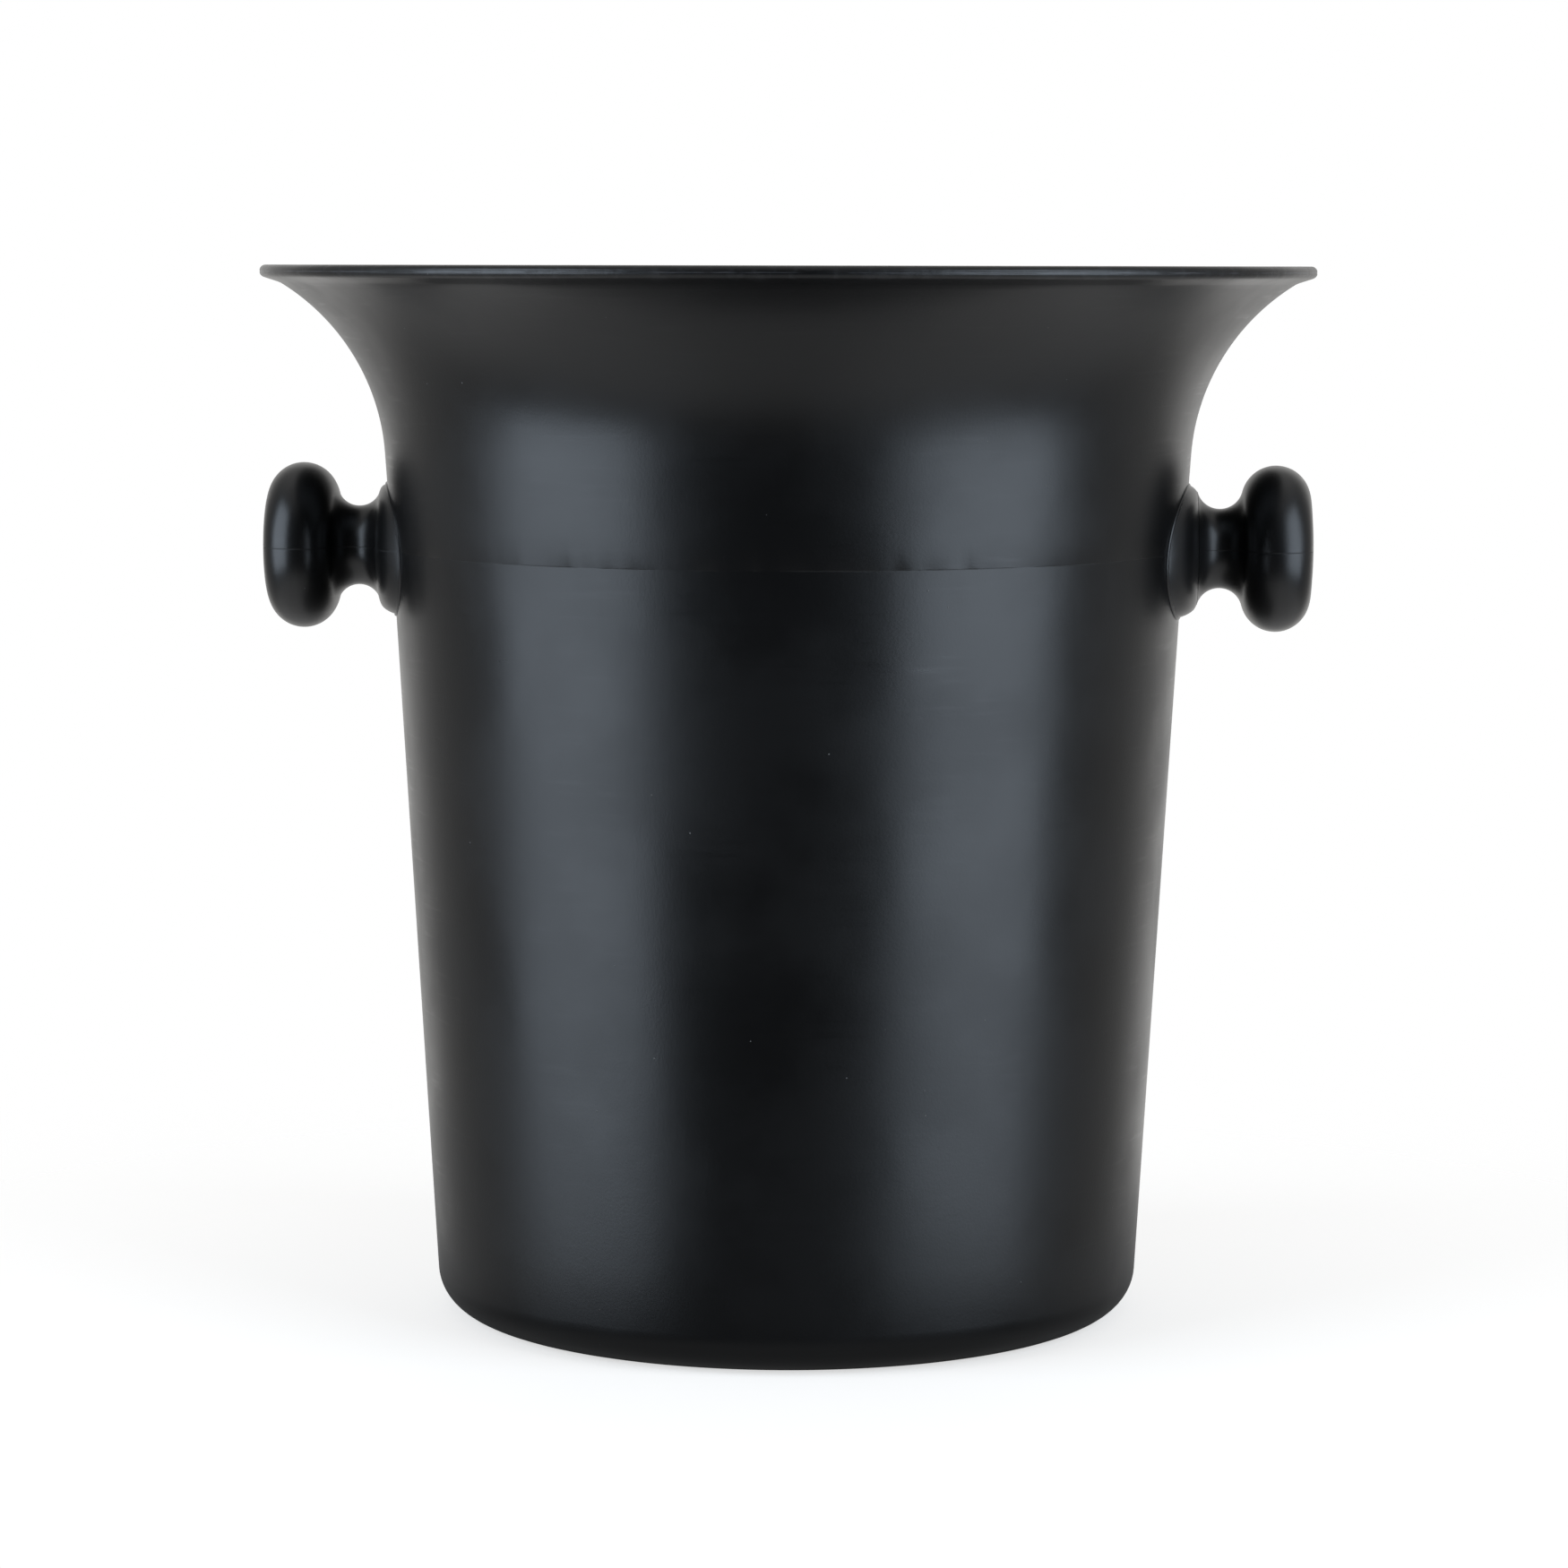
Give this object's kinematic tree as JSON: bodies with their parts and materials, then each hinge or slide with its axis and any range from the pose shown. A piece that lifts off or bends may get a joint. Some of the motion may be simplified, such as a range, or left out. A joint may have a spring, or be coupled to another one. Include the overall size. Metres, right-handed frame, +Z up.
{
  "type": "ice bucket",
  "caption": "Round black plastic bucket with a flared lip, tapered wall and a turned knob on each side, screwed on from inside over a washer and a seal.",
  "frame": {"origin": "middle of the foot ring, on the surface that the bucket stands on", "axes": "+Z up along the bucket's axis, +X towards the right-hand knob, -X towards the left-hand knob"},
  "size_m": [0.22, 0.22, 0.22],
  "materials": {
    "shell_plastic": "satin black moulded plastic",
    "knob_plastic": "glossy black moulded plastic",
    "insert_brass": "turned brass",
    "stainless": "bright stainless steel",
    "seal_rubber": "matt black rubber"
  },
  "bodies": {
    "root": {"bucket_shell": "shell_plastic", "knob_left": "knob_plastic", "insert_left": "insert_brass", "collar_left": "knob_plastic", "seal_left": "seal_rubber", "washer_left": "stainless", "screw_left": "stainless", "knob_right": "knob_plastic", "insert_right": "insert_brass", "collar_right": "knob_plastic", "seal_right": "seal_rubber", "washer_right": "stainless", "screw_right": "stainless"}
  },
  "joints": []
}
